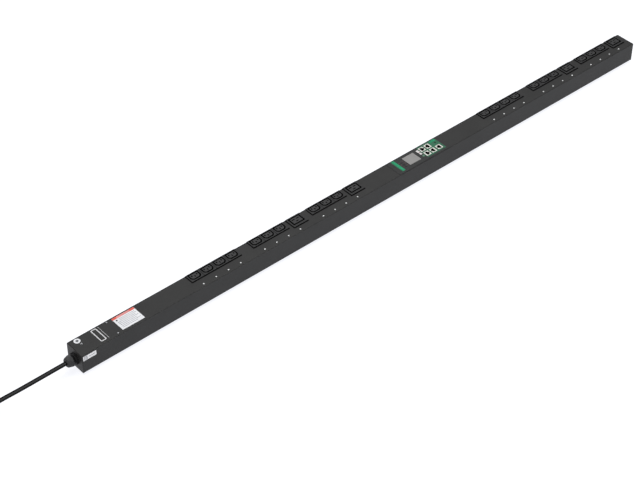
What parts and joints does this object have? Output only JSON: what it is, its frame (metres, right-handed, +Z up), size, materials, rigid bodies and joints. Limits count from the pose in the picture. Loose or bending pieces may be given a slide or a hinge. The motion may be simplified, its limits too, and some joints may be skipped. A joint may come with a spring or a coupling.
{
  "type": "rack power strip",
  "caption": "Full-height rack power strip lying outlets up: steel channel, small and large appliance outlets, display and network panel, gland and supply cord with plug.",
  "frame": {"origin": "under the middle of the strip, on the surface that it lies on, centred on its width", "axes": "+X along the strip, away from its supply cord; +Y across it, towards the edge that holds the outlets; +Z up, out of the outlets"},
  "size_m": [2.3775, 0.098, 0.0605],
  "materials": {
    "painted_steel": "fine satin powder coat, charcoal black",
    "zinc_steel": "bright zinc plate",
    "label_film": "matt white film",
    "outlet_plastic": "matt moulded plastic, dark grey",
    "contact_brass": "bright",
    "light_clear": "clear polished plastic",
    "circuit_board": "green solder mask",
    "relay_plastic": "matt black",
    "copper": "tinned copper, warm",
    "insulator": "matt ivory",
    "terminal_plastic": "pale grey",
    "sensor_blue": "potted blue",
    "wire_cover": "soft satin insulation",
    "bezel_plastic": "fine matt",
    "overlay_film": "matt printed film with green areas",
    "lcd_glass": "pale grey display",
    "window_clear": "clear matt window",
    "indicator_white": "white light windows",
    "key_plastic": "matt dark grey",
    "jack_shell": "pale shell",
    "gland_plastic": "black nylon",
    "rubber_black": "soft black",
    "gland_nut_plastic": "charcoal nylon",
    "cord_jacket": "satin black jacket",
    "tie_fabric": "black hook-and-loop",
    "plug_blue": "satin blue",
    "pin_metal": "nickel plate",
    "plug_black": "black nylon"
  },
  "bodies": {
    "strip": {"rear_channel": "painted_steel", "front_cover": "painted_steel", "cover_brace": "zinc_steel", "end_cap_cord_side": "painted_steel", "end_cap_far_side": "painted_steel", "end_cap_screws": "zinc_steel", "cover_screws": "zinc_steel", "earth_screw": "zinc_steel", "mounting_buttons": "zinc_steel", "labels": "label_film", "outlet_bank_1": "outlet_plastic", "outlet_bank_2": "outlet_plastic", "outlet_bank_3": "outlet_plastic", "outlet_bank_4": "outlet_plastic", "outlet_bank_5": "outlet_plastic", "outlet_bank_6": "outlet_plastic", "large_outlet_1": "outlet_plastic", "large_outlet_2": "outlet_plastic", "large_outlet_3": "outlet_plastic", "large_outlet_4": "outlet_plastic", "small_contacts": "contact_brass", "large_contacts": "contact_brass", "status_light_pipes": "light_clear", "outlet_boards": "circuit_board", "relays": "relay_plastic", "busbars": "copper", "busbar_holders": "insulator", "insulating_liner": "insulator", "terminal_block": "terminal_plastic", "current_sensor": "sensor_blue", "power_supply": "relay_plastic", "supply_wires": "wire_cover", "controller_board": "circuit_board", "display_board": "circuit_board", "display_bezel": "bezel_plastic", "panel_overlay": "overlay_film", "lcd_panel": "lcd_glass", "lcd_window": "window_clear", "indicator_windows": "indicator_white", "button_switches": "relay_plastic", "network_jack_1": "jack_shell", "network_jack_2": "jack_shell", "network_jack_3": "jack_shell", "network_jack_4": "jack_shell", "network_jack_5": "jack_shell", "gland_body": "gland_plastic", "gland_locknut": "gland_plastic", "gland_seal": "rubber_black", "gland_dome_nut": "gland_nut_plastic", "cord_lead": "cord_jacket", "cord_tail": "cord_jacket", "cord_hank": "cord_jacket", "hank_ties": "tie_fabric", "plug_body": "plug_blue", "plug_pins": "pin_metal", "plug_cable_nut": "plug_black"},
    "menu_key_1": {"menu_button_1": "key_plastic"},
    "menu_key_2": {"menu_button_2": "key_plastic"},
    "menu_key_3": {"menu_button_3": "key_plastic"},
    "reset_key": {"reset_button": "key_plastic"}
  },
  "joints": [
    {"name": "menu_key_1_press", "type": "slide", "parent": "strip", "child": "menu_key_1", "axis": [0, 0, -1], "range_m": [0, 0.0006], "stiffness_N_per_m": 800},
    {"name": "menu_key_2_press", "type": "slide", "parent": "strip", "child": "menu_key_2", "axis": [0, 0, -1], "range_m": [0, 0.0006], "stiffness_N_per_m": 800},
    {"name": "menu_key_3_press", "type": "slide", "parent": "strip", "child": "menu_key_3", "axis": [0, 0, -1], "range_m": [0, 0.0006], "stiffness_N_per_m": 800},
    {"name": "reset_key_press", "type": "slide", "parent": "strip", "child": "reset_key", "axis": [0, 0, -1], "range_m": [0, 0.0005], "stiffness_N_per_m": 800}
  ]
}
